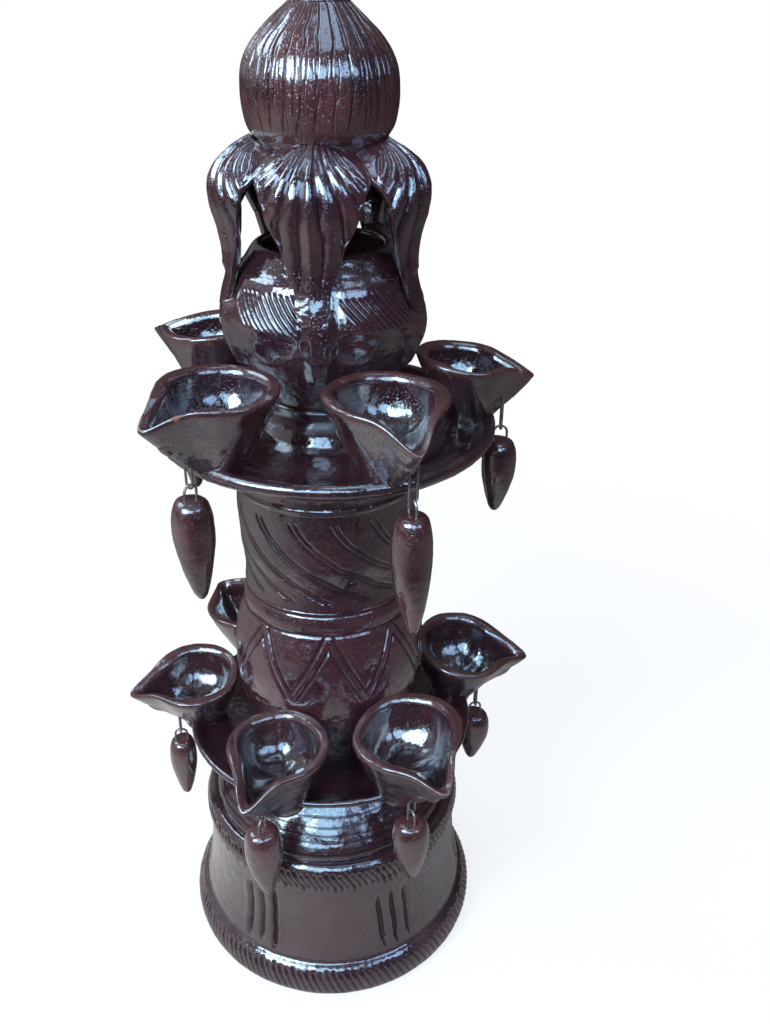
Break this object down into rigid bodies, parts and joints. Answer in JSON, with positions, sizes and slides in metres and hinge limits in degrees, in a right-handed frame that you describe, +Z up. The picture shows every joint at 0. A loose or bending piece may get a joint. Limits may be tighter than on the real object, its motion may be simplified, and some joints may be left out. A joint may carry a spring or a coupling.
{
  "type": "tiered oil lamp",
  "caption": "Free-standing glazed clay oil lamp: a bell base and a column carry two dished trays of spouted oil bowls with hanging clay drops, under a leaf-caged pot with a coconut finial.",
  "frame": {"origin": "centre of the bounding box, at the foot's underside", "axes": "+Z up along the lamp's axis; -Y faces the picture's camera"},
  "size_m": [0.2678, 0.2598, 0.6235],
  "materials": {
    "glazed_clay": "dark brown glossy glaze over hand-made red clay, bare and reddish on some rims",
    "wire": "thin iron wire, dull and slightly rusted"
  },
  "bodies": {
    "root": {"base_bell": "glazed_clay", "base_shoulder": "glazed_clay", "upper_bowl_1": "glazed_clay", "upper_bowl_loop_1": "wire", "upper_bowl_2": "glazed_clay", "upper_bowl_loop_2": "wire", "upper_bowl_3": "glazed_clay", "upper_bowl_loop_3": "wire", "upper_bowl_4": "glazed_clay", "upper_bowl_loop_4": "wire", "upper_bowl_5": "glazed_clay", "upper_bowl_loop_5": "wire", "lower_bowl_1": "glazed_clay", "lower_bowl_loop_1": "wire", "lower_bowl_2": "glazed_clay", "lower_bowl_loop_2": "wire", "lower_bowl_3": "glazed_clay", "lower_bowl_loop_3": "wire", "lower_bowl_4": "glazed_clay", "lower_bowl_loop_4": "wire", "lower_bowl_5": "glazed_clay", "lower_bowl_loop_5": "wire", "lower_bowl_6": "glazed_clay", "lower_bowl_loop_6": "wire", "lower_tray": "glazed_clay", "upper_tray": "glazed_clay", "column_barrel": "glazed_clay", "column_neck": "glazed_clay", "pot_foot": "glazed_clay", "kalash_pot": "glazed_clay", "leaf_1": "glazed_clay", "leaf_2": "glazed_clay", "leaf_3": "glazed_clay", "leaf_4": "glazed_clay", "leaf_5": "glazed_clay", "leaf_collar": "glazed_clay", "coconut": "glazed_clay", "coconut_tip": "glazed_clay"},
    "upper_hanging_drop_1": {"upper_drop_1": "glazed_clay", "upper_drop_loop_1": "wire"},
    "upper_hanging_drop_2": {"upper_drop_2": "glazed_clay", "upper_drop_loop_2": "wire"},
    "upper_hanging_drop_3": {"upper_drop_3": "glazed_clay", "upper_drop_loop_3": "wire"},
    "upper_hanging_drop_4": {"upper_drop_4": "glazed_clay", "upper_drop_loop_4": "wire"},
    "upper_hanging_drop_5": {"upper_drop_5": "glazed_clay", "upper_drop_loop_5": "wire"},
    "lower_hanging_drop_1": {"lower_drop_1": "glazed_clay", "lower_drop_loop_1": "wire"},
    "lower_hanging_drop_2": {"lower_drop_2": "glazed_clay", "lower_drop_loop_2": "wire"},
    "lower_hanging_drop_3": {"lower_drop_3": "glazed_clay", "lower_drop_loop_3": "wire"},
    "lower_hanging_drop_4": {"lower_drop_4": "glazed_clay", "lower_drop_loop_4": "wire"},
    "lower_hanging_drop_5": {"lower_drop_5": "glazed_clay", "lower_drop_loop_5": "wire"},
    "lower_hanging_drop_6": {"lower_drop_6": "glazed_clay", "lower_drop_loop_6": "wire"}
  },
  "joints": [
    {"name": "upper_drop_swing_1", "type": "hinge", "parent": "root", "child": "upper_hanging_drop_1", "pos_m": [-0.07407, -0.07485, 0.38407], "axis": [-0.7194, 0.6946, 0], "range_deg": [-30, 45]},
    {"name": "upper_drop_swing_2", "type": "hinge", "parent": "root", "child": "upper_hanging_drop_2", "pos_m": [0.04213, -0.09425, 0.38335], "axis": [-0.9065, -0.4223, 0], "range_deg": [-30, 45]},
    {"name": "upper_drop_swing_3", "type": "hinge", "parent": "root", "child": "upper_hanging_drop_3", "pos_m": [0.10216, -0.00361, 0.38419], "axis": [-0.0349, -0.9994, 0], "range_deg": [-30, 45]},
    {"name": "upper_drop_swing_4", "type": "hinge", "parent": "root", "child": "upper_hanging_drop_4", "pos_m": [0.03036, 0.09893, 0.38338], "axis": [0.9511, -0.309, 0], "range_deg": [-30, 45]},
    {"name": "upper_drop_swing_5", "type": "hinge", "parent": "root", "child": "upper_hanging_drop_5", "pos_m": [-0.08801, 0.05816, 0.38385], "axis": [0.5591, 0.8291, 0], "range_deg": [-30, 45]},
    {"name": "lower_drop_swing_1", "type": "hinge", "parent": "root", "child": "lower_hanging_drop_1", "pos_m": [-0.04571, -0.09428, 0.16219], "axis": [-0.9064, 0.4223, 0], "range_deg": [-7, 45]},
    {"name": "lower_drop_swing_2", "type": "hinge", "parent": "root", "child": "lower_hanging_drop_2", "pos_m": [0.047, -0.09183, 0.16258], "axis": [-0.8832, -0.469, 0], "range_deg": [-7, 45]},
    {"name": "lower_drop_swing_3", "type": "hinge", "parent": "root", "child": "lower_hanging_drop_3", "pos_m": [0.10143, 0.01268, 0.16068], "axis": [0.1218, -0.9926, 0], "range_deg": [-7, 45]},
    {"name": "lower_drop_swing_4", "type": "hinge", "parent": "root", "child": "lower_hanging_drop_4", "pos_m": [0.0372, 0.09644, 0.1614], "axis": [0.9271, -0.3748, 0], "range_deg": [-7, 45]},
    {"name": "lower_drop_swing_5", "type": "hinge", "parent": "root", "child": "lower_hanging_drop_5", "pos_m": [-0.06291, 0.08409, 0.16126], "axis": [0.8088, 0.5881, 0], "range_deg": [-7, 45]},
    {"name": "lower_drop_swing_6", "type": "hinge", "parent": "root", "child": "lower_hanging_drop_6", "pos_m": [-0.10555, -0.00726, 0.16114], "axis": [-0.07, 0.9975, 0], "range_deg": [-7, 45]}
  ]
}
